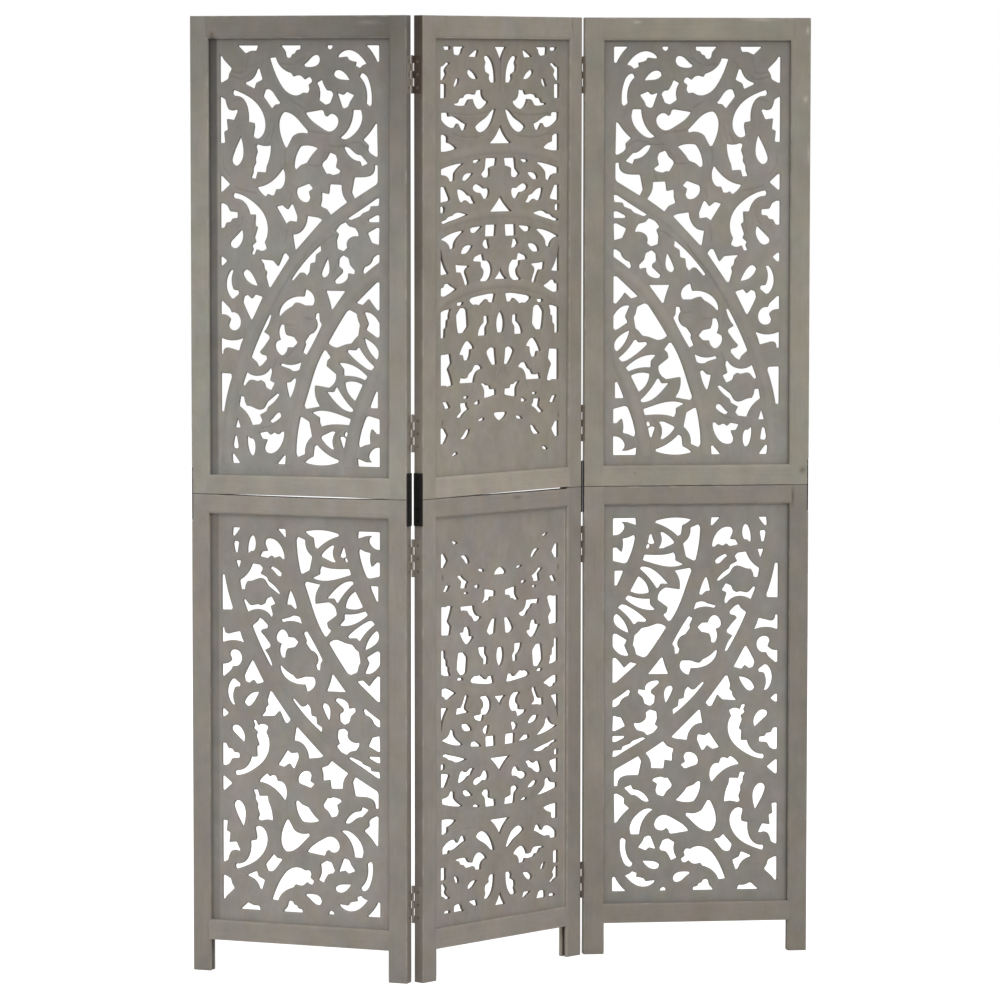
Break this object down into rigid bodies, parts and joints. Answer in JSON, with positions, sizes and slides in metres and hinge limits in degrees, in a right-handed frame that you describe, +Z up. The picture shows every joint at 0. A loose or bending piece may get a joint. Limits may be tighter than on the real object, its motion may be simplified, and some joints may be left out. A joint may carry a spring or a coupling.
{
  "type": "folding screen",
  "caption": "Freestanding folding screen of hinged wooden panels, each with pierced carved fretwork boards held in grooved frames on short feet.",
  "frame": {"origin": "middle of the footprint's bounding box, on the floor, with the screen standing as in the picture", "axes": "+Z up, -Y towards the viewer of the carved front, +X to the viewer's right"},
  "size_m": [1.0764, 0.3668, 1.65],
  "materials": {
    "frame_wood": "washed grey-brown stain",
    "carved_board": "washed grey-brown stain",
    "black_plate": "matt black",
    "hinge_steel": "dull steel",
    "hinge_pin": "dull steel",
    "screw_steel": "zinc plated"
  },
  "bodies": {
    "middle_panel": {"left_fold_hinge_1_middle_leaf": "hinge_steel", "left_fold_hinge_2_middle_leaf": "hinge_steel", "left_fold_hinge_3_middle_leaf": "hinge_steel", "left_fold_hinge_4_middle_leaf": "hinge_steel", "left_fold_hinge_pins": "hinge_pin", "middle_hinge_screws": "screw_steel", "middle_left_joining_plate": "black_plate", "middle_lower_bottom_rail": "frame_wood", "middle_lower_fretwork": "carved_board", "middle_lower_left_stile": "frame_wood", "middle_lower_right_stile": "frame_wood", "middle_lower_top_rail": "frame_wood", "middle_plate_screws": "screw_steel", "middle_right_joining_plate": "black_plate", "middle_upper_bottom_rail": "frame_wood", "middle_upper_fretwork": "carved_board", "middle_upper_left_stile": "frame_wood", "middle_upper_right_stile": "frame_wood", "middle_upper_top_rail": "frame_wood", "right_fold_hinge_1_middle_leaf": "hinge_steel", "right_fold_hinge_2_middle_leaf": "hinge_steel", "right_fold_hinge_3_middle_leaf": "hinge_steel", "right_fold_hinge_4_middle_leaf": "hinge_steel", "right_fold_hinge_pins": "hinge_pin"},
    "left_panel": {"left_fold_hinge_1_left_leaf": "hinge_steel", "left_fold_hinge_2_left_leaf": "hinge_steel", "left_fold_hinge_3_left_leaf": "hinge_steel", "left_fold_hinge_4_left_leaf": "hinge_steel", "left_hinge_screws": "screw_steel", "left_left_joining_plate": "black_plate", "left_lower_bottom_rail": "frame_wood", "left_lower_fretwork": "carved_board", "left_lower_left_stile": "frame_wood", "left_lower_right_stile": "frame_wood", "left_lower_top_rail": "frame_wood", "left_plate_screws": "screw_steel", "left_right_joining_plate": "black_plate", "left_upper_bottom_rail": "frame_wood", "left_upper_fretwork": "carved_board", "left_upper_left_stile": "frame_wood", "left_upper_right_stile": "frame_wood", "left_upper_top_rail": "frame_wood"},
    "right_panel": {"right_fold_hinge_1_right_leaf": "hinge_steel", "right_fold_hinge_2_right_leaf": "hinge_steel", "right_fold_hinge_3_right_leaf": "hinge_steel", "right_fold_hinge_4_right_leaf": "hinge_steel", "right_hinge_screws": "screw_steel", "right_left_joining_plate": "black_plate", "right_lower_bottom_rail": "frame_wood", "right_lower_fretwork": "carved_board", "right_lower_left_stile": "frame_wood", "right_lower_right_stile": "frame_wood", "right_lower_top_rail": "frame_wood", "right_plate_screws": "screw_steel", "right_right_joining_plate": "black_plate", "right_upper_bottom_rail": "frame_wood", "right_upper_fretwork": "carved_board", "right_upper_left_stile": "frame_wood", "right_upper_right_stile": "frame_wood", "right_upper_top_rail": "frame_wood"}
  },
  "joints": [
    {"name": "left_fold", "type": "hinge", "parent": "middle_panel", "child": "left_panel", "pos_m": [-0.15504, -0.16305, 0], "axis": [0, 0, 1], "range_deg": [-112.35, 67.65]},
    {"name": "right_fold", "type": "hinge", "parent": "middle_panel", "child": "right_panel", "pos_m": [0.13946, 0.114, 0], "axis": [0, 0, 1], "range_deg": [-140.02, 39.98]}
  ]
}
